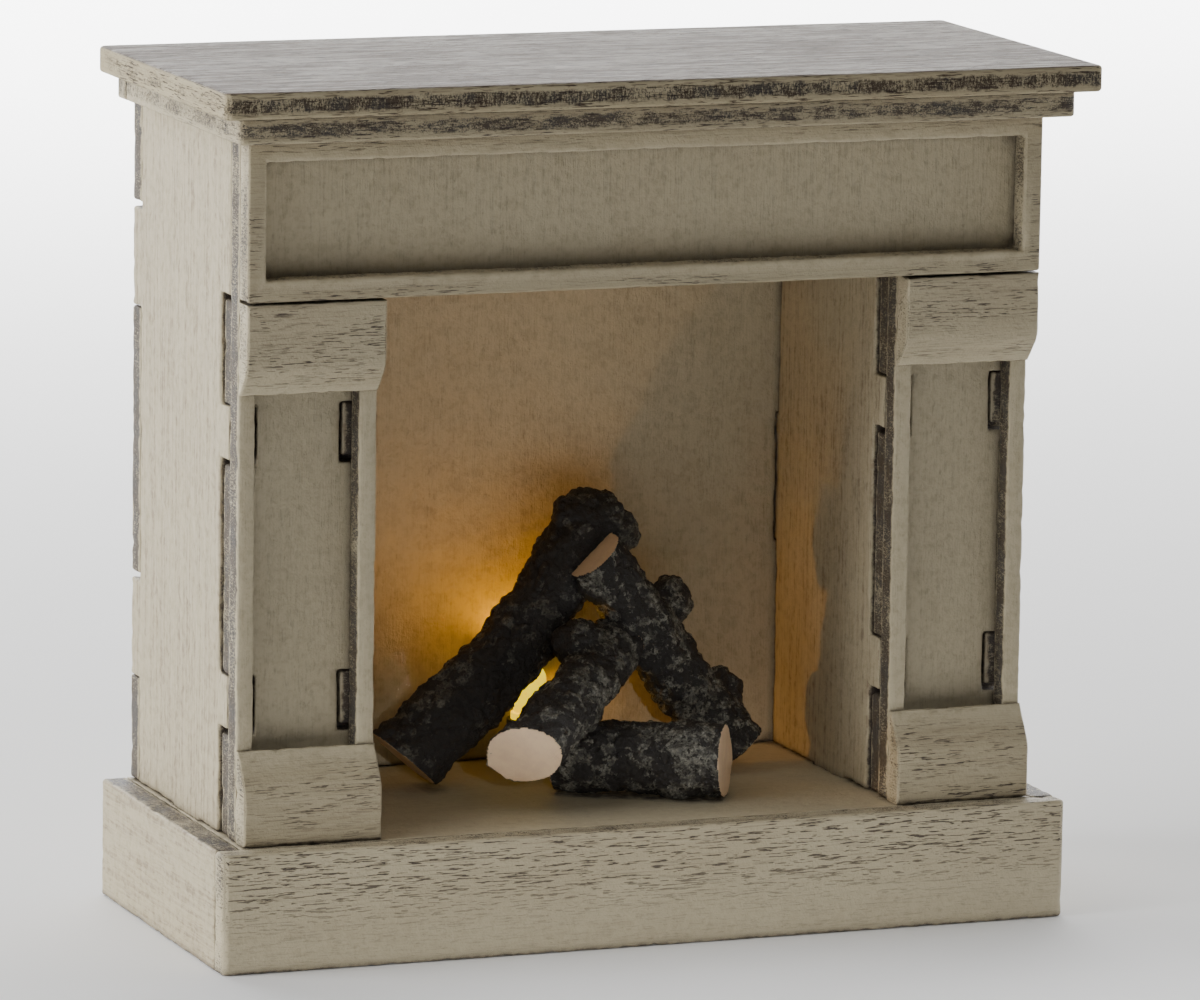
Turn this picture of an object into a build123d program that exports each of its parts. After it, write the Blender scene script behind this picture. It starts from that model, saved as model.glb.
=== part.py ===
from build123d import *
import os
from math import radians, tan

# Miniature fireplace mantel with a lit log fire, in millimetres.
# The origin is on the table, under the middle of the mantel. +X runs to the right as seen
# from the front, +Y to the back and +Z up. The box behind the front is finger-jointed from
# sheet; the face frame, frieze, blocks, cornice, shelf and plinth are glued around it.

# ---- Driving dimensions ----
SHEET = 4.0                 # thickness of every board
BODY_WIDTH = 125.0          # over the two side walls
BACK = 31.0                 # rear face of the body and the plinth
TOTAL_HEIGHT = 130.0

PLINTH_WIDTH = 134.0
PLINTH_FRONT = -27.0
PLINTH_HEIGHT = 18.0
PLINTH_ROUND = 1.2

SHELF_WIDTH = 137.2
SHELF_FRONT = -31.0
CORNICE_WIDTH = 131.0
CORNICE_FRONT = -28.0
TOP_BACK = 29.5             # rear edge of the shelf and the cornice

OPENING_WIDTH = 82.0        # firebox, between the cheeks
OPENING_TOP = 98.3          # also the bottom of the frieze
FRIEZE_FRONT = -23.0        # also the front of the cap and base blocks
FRIEZE_STILE = 3.0
FRIEZE_RAIL = 3.3

PILASTER_STILE = 2.8
PILASTER_WINDOW_BOTTOM = 26.0
PILASTER_WINDOW_TOP = 90.0
BLOCK_HEIGHT = 14.0         # cap and base blocks of the pilasters
CAP_SLOPE = 4.0             # height of the slanted part of a cap
BASE_SLOPE = 5.5
BLOCK_EASE = 4.0            # radius of the soft turn from a block's front to its slope
BLOCK_LIP = 0.6             # thickness of a block where its slope ends
CAP_GAP = 0.25              # dark line between the frieze and a cap

TAB_HEIGHT = 8.0            # tabs through the front panel
FRONT_TAB_CENTRES = (38.0, 78.0)
REAR_TABS = ((34.0, 49.0), (90.5, 105.5))
TAB_SIDE_GAP = 0.3          # slack beside a tab
TAB_END_GAP = 0.9           # slack at one end of a tab's slot
TAB_SETBACK = 0.25          # from the front panel's face to the ends of the tabs through it
FINGER_SETBACK = 0.5        # from a wall's face to the ends of the front panel's fingers
CHEEK_REAR_TAB = (50.0, 70.0)
FOOT_TAB = (-2.0, 10.0)     # tabs of the walls and cheeks into the hearth board, along Y
BACK_FOOT_TAB_X = 26.0      # tabs of the back panel into the hearth board
BACK_FOOT_TAB_WIDTH = 12.0
EDGE_ROUND = 0.5

# The fire's lamp stands in the hearth board behind the logs.
LAMP = (-1.8, 20.5)
LAMP_RADIUS = 2.5
LAMP_BASE_RADIUS = 2.9
LAMP_BASE = 1.0
LAMP_HEIGHT = 8.6
LAMP_SEAT = 25.5            # height of the lamp's flange
LAMP_LEG = 0.5
LAMP_LEG_PITCH = 2.54
LAMP_LEG_END = 10.0
HOLDER_RADIUS = 3.5
HOLDER_FLANGE_RADIUS = 4.5
HOLDER_SPIGOT_RADIUS = 3.0
HOLDER_BORE_RADIUS = 2.0
HOLDER_FLANGE = 1.0

# The battery box hangs under the hearth board. Its tray slides out through the plinth's rear.
BOX_X = (10.0, 40.0)
BOX_FRONT = -5.0
BOX_BOTTOM = 5.0
BOX_WALL = 1.2
TRAY_GAP = 0.3
TRAY_FLOOR = 1.2
CELL_RADIUS = 10.0
CELL_HEIGHT = 3.2
CELL_GAP = 0.3
CELL_Y = 11.5
CONTACT_WIDTH = 5.0
CONTACT_THICKNESS = 0.3
CONTACT_TAG = 1.5           # stands out of the box's front wall
EAR_LENGTH = 5.5
EAR_WIDTH = 7.0
EAR_THICKNESS = 1.5
EAR_Y = 16.0
SCREW_RADIUS = 0.85
SCREW_DEPTH = 3.0
SCREW_HEAD_RADIUS = 1.6
SCREW_HEAD = 1.1
EAR_HOLE_RADIUS = 0.95

# The slide switch is behind the plinth's rear board, which has a finger recess.
SWITCH = (-30.0, 7.0)       # X and Z of its middle
SWITCH_SIZE = (8.6, 4.6, 4.4)
SWITCH_WALL = 0.5
SWITCH_TRAVEL = 2.0
SLIDER_SIZE = (3.0, 2.8, 2.6)
STEM = 1.6
STEM_END = 30.5
TERMINAL_PITCH = 2.5
TERMINAL_LENGTH = 2.5
RECESS = (11.0, 7.0)
RECESS_DEPTH = 2.5
WIRE_RADIUS = 0.5

# ---- Worked out from the above ----
HALF_BODY = BODY_WIDTH / 2
HALF_OPENING = OPENING_WIDTH / 2
SHELF_BOTTOM = TOTAL_HEIGHT - SHEET
CORNICE_BOTTOM = SHELF_BOTTOM - SHEET
FACE_FRONT = FRIEZE_FRONT + SHEET
PANEL_FRONT = FACE_FRONT + SHEET
PANEL_BACK = PANEL_FRONT + SHEET
BACK_PANEL_FRONT = BACK - SHEET
HEARTH_BOTTOM = PLINTH_HEIGHT - SHEET
HALF_HEARTH = PLINTH_WIDTH / 2 - SHEET
CAVITY_X = (BOX_X[0] + BOX_WALL, BOX_X[1] - BOX_WALL)
CAVITY_Z = (BOX_BOTTOM + BOX_WALL, HEARTH_BOTTOM - BOX_WALL)
CAVITY_FRONT = BOX_FRONT + BOX_WALL
BOX_MIDDLE = (BOX_X[0] + BOX_X[1]) / 2
TRAY_X = (CAVITY_X[0] + TRAY_GAP, CAVITY_X[1] - TRAY_GAP)
TRAY_Z = (CAVITY_Z[0] + TRAY_GAP, CAVITY_Z[1] - TRAY_GAP)
CELL_BOTTOM = TRAY_Z[0] + TRAY_FLOOR
CELL_TOP = CELL_BOTTOM + CELL_HEIGHT
TAB_RANGES = [(middle - TAB_HEIGHT / 2, middle + TAB_HEIGHT / 2) for middle in FRONT_TAB_CENTRES]

# The logs: points along the middle of each, with its radius there.
LEFT_LOG = [
    ((-26.1, 9.5, 22.7), 5.7),
    ((-17.9, 11.5, 28.9), 5.9),
    ((-8.6, 13.5, 36.9), 5.6),
    ((-0.1, 15.5, 46.6), 5.4),
    ((6.6, 17.5, 55.9), 5.6),
]
FRONT_LOG = [
    ((-16.0, -14.0, 27.3), 5.5),
    ((-6.8, -6.5, 31.5), 4.7),
    ((0.9, 1.5, 35.3), 4.5),
    ((7.9, 9.0, 38.8), 4.5),
]
RIGHT_LOG = [
    ((4.1, 10.0, 52.3), 4.8),
    ((12.6, 10.5, 41.4), 4.9),
    ((20.4, 10.2, 30.5), 5.1),
    ((27.5, 9.6, 21.3), 5.2),
]
LOW_LOG = [
    ((18.1, -10.5, 23.7), 5.6),
    ((7.0, -3.8, 23.6), 5.5),
    ((-4.2, 3.0, 23.4), 5.2),
]
# The directions that the slanted sawn ends face.
LEFT_FOOT_CUT = (-0.66, 0.0, -0.75)
FRONT_CUT = (-0.34, -0.84, -0.43)
RIGHT_TOP_CUT = (-0.64, -0.07, 0.765)
LOW_CUT = (0.84, -0.54, 0.03)
LOG_OVERRUN = 7.0           # length that is sawn off
# Burrs: the left log's head is covered in them, the front log has one that leans on the left
# log, and the right log has two at its back.
HEAD_BURRS = [
    ((6.6, 17.5, 55.9), 5.7),
    ((7.5, 17.0, 57.0), 4.5),
    ((9.4, 16.5, 54.7), 4.1),
    ((3.6, 16.6, 57.4), 3.5),
]
FRONT_BURRS = [((0.2, 5.0, 39.9), 3.8)]
BACK_BURRS = [((17.7, 13.6, 43.7), 3.7), ((26.0, 13.0, 29.4), 3.7)]


def block(x, y, z):
    """Box between three (low, high) ranges."""
    ranges = (x, y, z)
    middle = [(low + high) / 2 for low, high in ranges]
    size = [high - low for low, high in ranges]
    return Pos(*middle) * Box(*size)


def rod(x, y, z, radius):
    """Upright cylinder over the range z."""
    return Pos(x, y, (z[0] + z[1]) / 2) * Cylinder(radius, z[1] - z[0])


def both_sides(x):
    """The range x and its mirror image."""
    return [x, (-x[1], -x[0])]


def front_edges(shape):
    """Edges that lie in the shape's front face."""
    return shape.faces().sort_by(Axis.Y)[0].edges()


def mirrored(shape):
    """The shape on the other side of the mantel."""
    return mirror(shape, about=Plane.YZ)


# ---- Top ----
def shelf_board():
    board = block((-SHELF_WIDTH / 2, SHELF_WIDTH / 2), (SHELF_FRONT, TOP_BACK), (SHELF_BOTTOM, TOTAL_HEIGHT))
    board = fillet(board.edges().filter_by(Axis.Z), 1.2)
    return fillet(board.faces().sort_by(Axis.Z)[-1].edges() + board.faces().sort_by(Axis.Z)[0].edges(), 0.6)


def cornice_board():
    board = block((-CORNICE_WIDTH / 2, CORNICE_WIDTH / 2), (CORNICE_FRONT, TOP_BACK - SHEET),
                  (CORNICE_BOTTOM, SHELF_BOTTOM))
    board = fillet(front_edges(board).filter_by(Axis.Z), 1.0)
    return fillet(board.faces().sort_by(Axis.Y)[0].edges().filter_by(Axis.X), EDGE_ROUND)


def cornice_back_strip():
    return block((-CORNICE_WIDTH / 2, CORNICE_WIDTH / 2), (TOP_BACK - SHEET, TOP_BACK),
                 (CORNICE_BOTTOM, SHELF_BOTTOM))


def frieze_frame():
    depth = (FRIEZE_FRONT, FACE_FRONT)
    frame = block((-HALF_BODY, HALF_BODY), depth, (OPENING_TOP, CORNICE_BOTTOM))
    frame = fillet(frame.edges().filter_by(Axis.Y) + front_edges(frame), EDGE_ROUND)
    window = block((-HALF_BODY + FRIEZE_STILE, HALF_BODY - FRIEZE_STILE), depth,
                   (OPENING_TOP + FRIEZE_RAIL, CORNICE_BOTTOM - FRIEZE_RAIL))
    return frame - window


# ---- Front ----
def face_frame():
    depth = (FACE_FRONT, PANEL_FRONT)
    frame = block((-HALF_BODY, HALF_BODY), depth, (PLINTH_HEIGHT, CORNICE_BOTTOM))
    frame -= block((-HALF_OPENING, HALF_OPENING), depth, (PLINTH_HEIGHT, OPENING_TOP))
    window_x = (HALF_OPENING + PILASTER_STILE, HALF_BODY - PILASTER_STILE)
    for x in both_sides(window_x):
        frame -= block(x, depth, (PILASTER_WINDOW_BOTTOM, PILASTER_WINDOW_TOP))
    return frame


def tab_slots(x, depth):
    """Slots for the front tabs of one wall or cheek, with slack under each tab."""
    return [block(x, depth, (low - TAB_END_GAP, high)) for low, high in TAB_RANGES]


def front_panel():
    depth = (PANEL_FRONT, PANEL_BACK)
    outer = HALF_BODY - FINGER_SETBACK
    inner = HALF_OPENING + FINGER_SETBACK
    panel = block((-outer, outer), depth, (PLINTH_HEIGHT, CORNICE_BOTTOM))
    panel -= block((-inner, inner), depth, (PLINTH_HEIGHT, OPENING_TOP))
    wall_x = (HALF_BODY - SHEET - TAB_SIDE_GAP, HALF_BODY)
    cheek_x = (HALF_OPENING, HALF_OPENING + SHEET + TAB_SIDE_GAP)
    for x in both_sides(wall_x) + both_sides(cheek_x):
        for slot in tab_slots(x, depth):
            panel -= slot
    for x in both_sides(wall_x):
        panel -= block(x, depth, (OPENING_TOP - TAB_END_GAP, CORNICE_BOTTOM))
    return panel


def pilaster_block(slope):
    """Right-hand block: a square front that eases into a slope back to the face frame at its foot."""
    top = OPENING_TOP - CAP_GAP
    bottom = OPENING_TOP - BLOCK_HEIGHT
    profile = make_face(Polyline(
        (FACE_FRONT, top), (FRIEZE_FRONT, top), (FRIEZE_FRONT, bottom + slope),
        (FACE_FRONT - BLOCK_LIP, bottom), (FACE_FRONT, bottom), close=True))
    shape = extrude(Plane.YZ.offset(HALF_OPENING) * profile, HALF_BODY - HALF_OPENING)
    turn = shape.edges().filter_by(Axis.X).group_by(Axis.Y)[0].sort_by(Axis.Z)[0]
    shape = fillet(turn, BLOCK_EASE)
    return fillet(front_edges(shape), EDGE_ROUND)


def cap_block():
    return pilaster_block(CAP_SLOPE)


def base_block():
    """A block turned upside down, on the hearth board."""
    middle = (OPENING_TOP - CAP_GAP + PLINTH_HEIGHT) / 2
    return mirror(pilaster_block(BASE_SLOPE), about=Plane.XY.offset(middle))


# ---- Box behind the front ----
def side_wall():
    """Right-hand wall, with its front, rear and foot tabs."""
    thickness = (HALF_BODY - SHEET, HALF_BODY)
    wall = block(thickness, (PANEL_BACK + TAB_SIDE_GAP, BACK_PANEL_FRONT), (PLINTH_HEIGHT, CORNICE_BOTTOM))
    wall += block(thickness, (PANEL_FRONT, PANEL_BACK + TAB_SIDE_GAP), (OPENING_TOP, CORNICE_BOTTOM))
    for tab in TAB_RANGES:
        wall += block(thickness, (PANEL_FRONT + TAB_SETBACK, PANEL_BACK + TAB_SIDE_GAP), tab)
    for tab in REAR_TABS:
        wall += block(thickness, (BACK_PANEL_FRONT, BACK), tab)
    return wall + block(thickness, FOOT_TAB, (HEARTH_BOTTOM, PLINTH_HEIGHT))


def cheek():
    """Right-hand side of the firebox."""
    thickness = (HALF_OPENING, HALF_OPENING + SHEET)
    board = block(thickness, (PANEL_BACK + TAB_SIDE_GAP, BACK_PANEL_FRONT), (PLINTH_HEIGHT, OPENING_TOP))
    for tab in TAB_RANGES:
        board += block(thickness, (PANEL_FRONT + TAB_SETBACK, PANEL_BACK + TAB_SIDE_GAP), tab)
    board += block(thickness, (BACK_PANEL_FRONT, BACK), CHEEK_REAR_TAB)
    return board + block(thickness, FOOT_TAB, (HEARTH_BOTTOM, PLINTH_HEIGHT))


def back_panel():
    depth = (BACK_PANEL_FRONT, BACK)
    panel = block((-HALF_BODY, HALF_BODY), depth, (PLINTH_HEIGHT, CORNICE_BOTTOM))
    for x in both_sides((HALF_BODY - SHEET, HALF_BODY)):
        for low, high in REAR_TABS:
            panel -= block(x, depth, (low, high + TAB_END_GAP))
    for x in both_sides((HALF_OPENING, HALF_OPENING + SHEET)):
        panel -= block(x, depth, CHEEK_REAR_TAB)
    for x in back_foot_tabs():
        panel += block(x, depth, (HEARTH_BOTTOM, PLINTH_HEIGHT))
    return panel


def back_foot_tabs():
    """Where the back panel's tabs go into the hearth board, along X."""
    return both_sides((BACK_FOOT_TAB_X, BACK_FOOT_TAB_X + BACK_FOOT_TAB_WIDTH))


def firebox_ceiling():
    reach = HALF_OPENING + SHEET
    return block((-reach, reach), (PANEL_BACK, BACK_PANEL_FRONT), (OPENING_TOP, OPENING_TOP + SHEET))


# ---- Plinth ----
def hearth_board():
    height = (HEARTH_BOTTOM, PLINTH_HEIGHT)
    board = block((-HALF_HEARTH, HALF_HEARTH), (PLINTH_FRONT + SHEET, BACK), height)
    for inner in (HALF_BODY - SHEET, HALF_OPENING):
        for x in both_sides((inner, inner + SHEET)):
            board -= block(x, FOOT_TAB, height)
    for x in back_foot_tabs():
        board -= block(x, (BACK_PANEL_FRONT, BACK), height)
    board -= rod(*LAMP, height, HOLDER_SPIGOT_RADIUS)
    for x, y in screw_places():
        board -= rod(x, y, (HEARTH_BOTTOM, HEARTH_BOTTOM + SCREW_DEPTH), SCREW_RADIUS)
    return board


def plinth_front_board():
    half = PLINTH_WIDTH / 2
    board = block((-half, half), (PLINTH_FRONT, PLINTH_FRONT + SHEET), (0, PLINTH_HEIGHT))
    board = fillet(front_edges(board).filter_by(Axis.Z), PLINTH_ROUND)
    rounded = board.faces().sort_by(Axis.Z)[-1].edges() - board.faces().sort_by(Axis.Y)[-1].edges()
    return fillet(rounded, PLINTH_ROUND / 2)


def plinth_side_board():
    """Right-hand board, behind the front board's end."""
    board = block((HALF_HEARTH, PLINTH_WIDTH / 2), (PLINTH_FRONT + SHEET, BACK), (0, PLINTH_HEIGHT))
    top_edge = board.edges().filter_by(Axis.Y).group_by(Axis.Z)[-1].sort_by(Axis.X)[-1]
    return fillet(top_edge, PLINTH_ROUND / 2)


def plinth_rear_board():
    """Board with the battery tray's window and the switch's finger recess and slot."""
    board = block((-HALF_HEARTH, HALF_HEARTH), (BACK_PANEL_FRONT, BACK), (0, HEARTH_BOTTOM))
    board -= block(CAVITY_X, (BACK_PANEL_FRONT, BACK), CAVITY_Z)
    x, z = SWITCH
    board -= Pos(x, BACK - RECESS_DEPTH / 2, z) * Box(RECESS[0], RECESS_DEPTH, RECESS[1])
    slot_length = STEM + SWITCH_TRAVEL + 2 * TRAY_GAP
    board -= Pos(x, BACK - SHEET / 2, z) * Box(slot_length, SHEET, STEM + 2 * TRAY_GAP)
    return board


# ---- Logs ----
def log(points, cut=None):
    """Bent round bar through the points. A cut saws its first end at a slant, facing that way."""
    places = [Vector(*place) for place, _ in points]
    radii = [radius for _, radius in points]
    start = places[0]
    if cut:
        places[0] = start + (start - places[1]).normalized() * LOG_OVERRUN
    sections = []
    for index, radius in enumerate(radii):
        before = places[max(index - 1, 0)]
        after = places[min(index + 1, len(places) - 1)]
        direction = after - before
        level = direction.cross(Vector(0, 0, 1))
        sections.append(Plane(origin=places[index], x_dir=level, z_dir=direction) * Circle(radius))
    bar = loft(sections)
    if cut:
        bar = split(bar, bisect_by=Plane(origin=start, z_dir=cut), keep=Keep.BOTTOM)
    return bar


def with_burrs(bar, burrs):
    for place, radius in burrs:
        bar += Pos(*place) * Sphere(radius)
    return bar


def log_pile():
    """The four logs, resting on the hearth. Where two meet, one is notched over the other."""
    left = with_burrs(log(LEFT_LOG, LEFT_FOOT_CUT), HEAD_BURRS)
    low = log(LOW_LOG, LOW_CUT)
    right = with_burrs(log(RIGHT_LOG, RIGHT_TOP_CUT), BACK_BURRS) - left
    front = with_burrs(log(FRONT_LOG, FRONT_CUT), FRONT_BURRS) - left - right - low
    hearth = block((-HALF_HEARTH, HALF_HEARTH), (PLINTH_FRONT, BACK), (0, PLINTH_HEIGHT))
    logs = {"left_log": left, "low_log": low, "right_log": right, "front_log": front}
    return {name: shape - hearth for name, shape in logs.items()}


# ---- Lamp ----
def lamp_legs_x():
    return (LAMP[0] - LAMP_LEG_PITCH / 2, LAMP[0] + LAMP_LEG_PITCH / 2)


def lamp_lens():
    """Clear body: a flange, a straight part and a dome."""
    x, y = LAMP
    top = LAMP_SEAT + LAMP_HEIGHT
    lens = rod(x, y, (LAMP_SEAT, LAMP_SEAT + LAMP_BASE), LAMP_BASE_RADIUS)
    lens += rod(x, y, (LAMP_SEAT + LAMP_BASE, top - LAMP_RADIUS), LAMP_RADIUS)
    return lens + Pos(x, y, top - LAMP_RADIUS) * Sphere(LAMP_RADIUS)


def lamp_legs():
    y = LAMP[1]
    half = LAMP_LEG / 2
    return [block((x - half, x + half), (y - half, y + half), (LAMP_LEG_END, LAMP_SEAT)) for x in lamp_legs_x()]


def lamp_holder():
    x, y = LAMP
    flange_top = PLINTH_HEIGHT + HOLDER_FLANGE
    holder = rod(x, y, (HEARTH_BOTTOM, PLINTH_HEIGHT), HOLDER_SPIGOT_RADIUS)
    holder += rod(x, y, (PLINTH_HEIGHT, flange_top), HOLDER_FLANGE_RADIUS)
    holder += rod(x, y, (flange_top, LAMP_SEAT), HOLDER_RADIUS)
    return holder - rod(x, y, (HEARTH_BOTTOM, LAMP_SEAT), HOLDER_BORE_RADIUS)


# ---- Battery ----
def screw_places():
    return [(BOX_X[0] - EAR_LENGTH / 2, EAR_Y), (BOX_X[1] + EAR_LENGTH / 2, EAR_Y)]


def battery_box():
    """Case that opens to the rear, with two screw ears and slots for the contacts."""
    box = block(BOX_X, (BOX_FRONT, BACK_PANEL_FRONT), (BOX_BOTTOM, HEARTH_BOTTOM))
    ear_z = (HEARTH_BOTTOM - EAR_THICKNESS, HEARTH_BOTTOM)
    ear_y = (EAR_Y - EAR_WIDTH / 2, EAR_Y + EAR_WIDTH / 2)
    box += block((BOX_X[0] - EAR_LENGTH, BOX_X[1] + EAR_LENGTH), ear_y, ear_z)
    box -= block(CAVITY_X, (CAVITY_FRONT, BACK_PANEL_FRONT), CAVITY_Z)
    for x, y in screw_places():
        box -= rod(x, y, ear_z, EAR_HOLE_RADIUS)
    for x, z in (positive_place(), negative_place()):
        box -= contact_strip(x, z, (BOX_FRONT, CAVITY_FRONT))
    return box


def battery_tray():
    """Tray with a round pocket, a floor slot that is open to the front and a finger notch."""
    rim_top = CELL_TOP
    tray = block(TRAY_X, (CAVITY_FRONT + TRAY_GAP, BACK_PANEL_FRONT), (TRAY_Z[0], rim_top))
    tray += block(TRAY_X, (BACK_PANEL_FRONT, BACK), TRAY_Z)
    tray -= rod(BOX_MIDDLE, CELL_Y, (CELL_BOTTOM, rim_top), CELL_RADIUS + CELL_GAP)
    slot_half = CONTACT_WIDTH / 2 + TRAY_GAP
    slot_x = (BOX_MIDDLE - slot_half, BOX_MIDDLE + slot_half)
    tray -= block(slot_x, (CAVITY_FRONT, CELL_Y + slot_half), (TRAY_Z[0], CELL_BOTTOM))
    notch_x = (BOX_MIDDLE - 5.0, BOX_MIDDLE + 5.0)
    return tray - block(notch_x, (BACK - 1.5, BACK), (TRAY_Z[0], TRAY_Z[0] + 2.0))


def coin_cell():
    """Can with a smaller cap underneath, lying cap down in the tray."""
    step = 0.4
    can = rod(BOX_MIDDLE, CELL_Y, (CELL_BOTTOM + step, CELL_TOP), CELL_RADIUS)
    can = fillet(can.edges().group_by(Axis.Z)[-1], 0.4)
    return can + rod(BOX_MIDDLE, CELL_Y, (CELL_BOTTOM, CELL_BOTTOM + step), CELL_RADIUS - 1.2)


def positive_place():
    """X of the upper contact's middle and its height."""
    return (BOX_MIDDLE - 7.0, CELL_TOP + TRAY_GAP + 1.0)


def negative_place():
    return (BOX_MIDDLE, CAVITY_Z[0])


def contact_strip(x, z, y):
    half = CONTACT_WIDTH / 2
    return block((x - half, x + half), y, (z, z + CONTACT_THICKNESS))


def contact(x, z, rise):
    """Leaf spring: a tag, a flat strip and a free end bent up or down by rise."""
    bend_y = CAVITY_FRONT + 4.0
    tip_y = CELL_Y - 4.0
    bottom = [(BOX_FRONT - CONTACT_TAG, z), (bend_y, z), (tip_y, z + rise)]
    top = [(y, height + CONTACT_THICKNESS) for y, height in reversed(bottom)]
    profile = make_face(Polyline(*bottom, *top, close=True))
    return extrude(Plane.YZ.offset(x - CONTACT_WIDTH / 2) * profile, CONTACT_WIDTH)


def positive_contact():
    return contact(*positive_place(), rise=-1.0)


def negative_contact():
    x, z = negative_place()
    return contact(x, z, rise=CELL_BOTTOM - TRAY_GAP - CONTACT_THICKNESS - z)


def battery_box_screws():
    """Two pan-head wood screws, heads down."""
    screws = []
    under_ear = HEARTH_BOTTOM - EAR_THICKNESS
    for x, y in screw_places():
        screw = rod(x, y, (under_ear, HEARTH_BOTTOM + SCREW_DEPTH), SCREW_RADIUS)
        head = rod(x, y, (under_ear - SCREW_HEAD, under_ear), SCREW_HEAD_RADIUS)
        head = fillet(head.edges().group_by(Axis.Z)[0], 0.4)
        slot = Pos(x, y, under_ear - SCREW_HEAD) * Box(2 * SCREW_HEAD_RADIUS, 0.5, 1.0)
        screws.append(screw + head - slot)
    return screws


# ---- Switch ----
def switch_housing():
    x, z = SWITCH
    middle_y = BACK_PANEL_FRONT - SWITCH_SIZE[1] / 2
    housing = Pos(x, middle_y, z) * Box(*SWITCH_SIZE)
    housing -= Pos(x, middle_y, z) * Box(*[side - 2 * SWITCH_WALL for side in SWITCH_SIZE])
    slot_length = STEM + SWITCH_TRAVEL + 2 * TRAY_GAP
    housing -= Pos(x, BACK_PANEL_FRONT, z) * Box(slot_length, 3 * SWITCH_WALL, STEM + 2 * TRAY_GAP)
    return housing


def switch_knob():
    """Slider and its stem, at the end of its travel where the lamp is on."""
    x = SWITCH[0] + SWITCH_TRAVEL / 2
    z = SWITCH[1]
    middle_y = BACK_PANEL_FRONT - SWITCH_SIZE[1] / 2
    slider = Pos(x, middle_y, z) * Box(*SLIDER_SIZE)
    stem = block((x - STEM / 2, x + STEM / 2), (middle_y, STEM_END), (z - STEM / 2, z + STEM / 2))
    stem = fillet(stem.faces().sort_by(Axis.Y)[-1].edges(), 0.25)
    return slider + stem


def terminal_end():
    return BACK_PANEL_FRONT - SWITCH_SIZE[1] - TERMINAL_LENGTH


def switch_terminals():
    """Three pins out of the switch's front."""
    x, z = SWITCH
    half = 0.25
    pins = []
    for step in (-1, 0, 1):
        middle = x + step * TERMINAL_PITCH
        pins.append(block((middle - half, middle + half), (terminal_end(), terminal_end() + TERMINAL_LENGTH),
                          (z - half, z + half)))
    return pins


# ---- Wires ----
def wire(points):
    """Round wire along straight runs joined by arcs as large as the runs allow."""
    places = [Vector(*point) for point in points]
    bends = []
    for before, corner, after in zip(places, places[1:], places[2:]):
        arriving, leaving = corner - before, after - corner
        shorter = min(arriving.length, leaving.length)
        bends.append(0.45 * shorter / tan(radians(arriving.get_angle(leaving)) / 2))
    path = FilletPolyline(*points, radius=bends)
    start = Plane(origin=path @ 0, z_dir=path % 0)
    return sweep(start * Circle(WIRE_RADIUS), path=path)


def red_wire():
    """From the lamp to the upper contact."""
    leg = (lamp_legs_x()[1], LAMP[1])
    x, z = positive_place()
    height = z + CONTACT_THICKNESS / 2
    return wire([(*leg, LAMP_LEG_END), (*leg, 5.5), (leg[0], -8.0, 7.0), (8.0, -16.5, height),
                 (x, -16.5, height), (x, BOX_FRONT - CONTACT_TAG, height)])


def black_battery_wire():
    """From the lower contact to the switch's middle terminal."""
    x, z = negative_place()
    height = z + CONTACT_THICKNESS / 2
    return wire([(x, BOX_FRONT - CONTACT_TAG, height), (x, -19.0, height), (SWITCH[0], -19.0, SWITCH[1]),
                 (SWITCH[0], terminal_end(), SWITCH[1])])


def black_lamp_wire():
    """From the switch's right terminal to the lamp."""
    leg = (lamp_legs_x()[0], LAMP[1])
    x = SWITCH[0] + TERMINAL_PITCH
    return wire([(*leg, LAMP_LEG_END), (*leg, 5.5), (leg[0], 5.0, SWITCH[1]), (x, 5.0, SWITCH[1]),
                 (x, terminal_end(), SWITCH[1])])


def all_parts():
    cap = cap_block()
    base = base_block()
    wall = side_wall()
    right_cheek = cheek()
    side_board = plinth_side_board()
    parts = {
        "shelf_board": shelf_board(),
        "cornice_board": cornice_board(),
        "cornice_back_strip": cornice_back_strip(),
        "frieze_frame": frieze_frame(),
        "face_frame": face_frame(),
        "front_panel": front_panel(),
        "cap_block_left": mirrored(cap),
        "cap_block_right": cap,
        "base_block_left": mirrored(base),
        "base_block_right": base,
        "side_wall_left": mirrored(wall),
        "side_wall_right": wall,
        "cheek_left": mirrored(right_cheek),
        "cheek_right": right_cheek,
        "back_panel": back_panel(),
        "firebox_ceiling": firebox_ceiling(),
        "hearth_board": hearth_board(),
        "plinth_front_board": plinth_front_board(),
        "plinth_side_board_left": mirrored(side_board),
        "plinth_side_board_right": side_board,
        "plinth_rear_board": plinth_rear_board(),
        "lamp_lens": lamp_lens(),
        "lamp_legs": lamp_legs(),
        "lamp_holder": lamp_holder(),
        "battery_box": battery_box(),
        "battery_tray": battery_tray(),
        "coin_cell": coin_cell(),
        "positive_contact": positive_contact(),
        "negative_contact": negative_contact(),
        "battery_box_screws": battery_box_screws(),
        "switch_housing": switch_housing(),
        "switch_knob": switch_knob(),
        "switch_terminals": switch_terminals(),
        "red_wire": red_wire(),
        "black_battery_wire": black_battery_wire(),
        "black_lamp_wire": black_lamp_wire(),
    }
    parts.update(log_pile())
    return parts


os.makedirs("parts", exist_ok=True)
for name, shape in all_parts().items():
    if isinstance(shape, list):
        shape = Compound(children=shape)
    shape.label = name
    export_step(shape, f"parts/{name}.step")
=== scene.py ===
from math import cos, radians, sin
from typing import NamedTuple

import bmesh
import bpy
from mathutils import Matrix, Vector, noise


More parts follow.
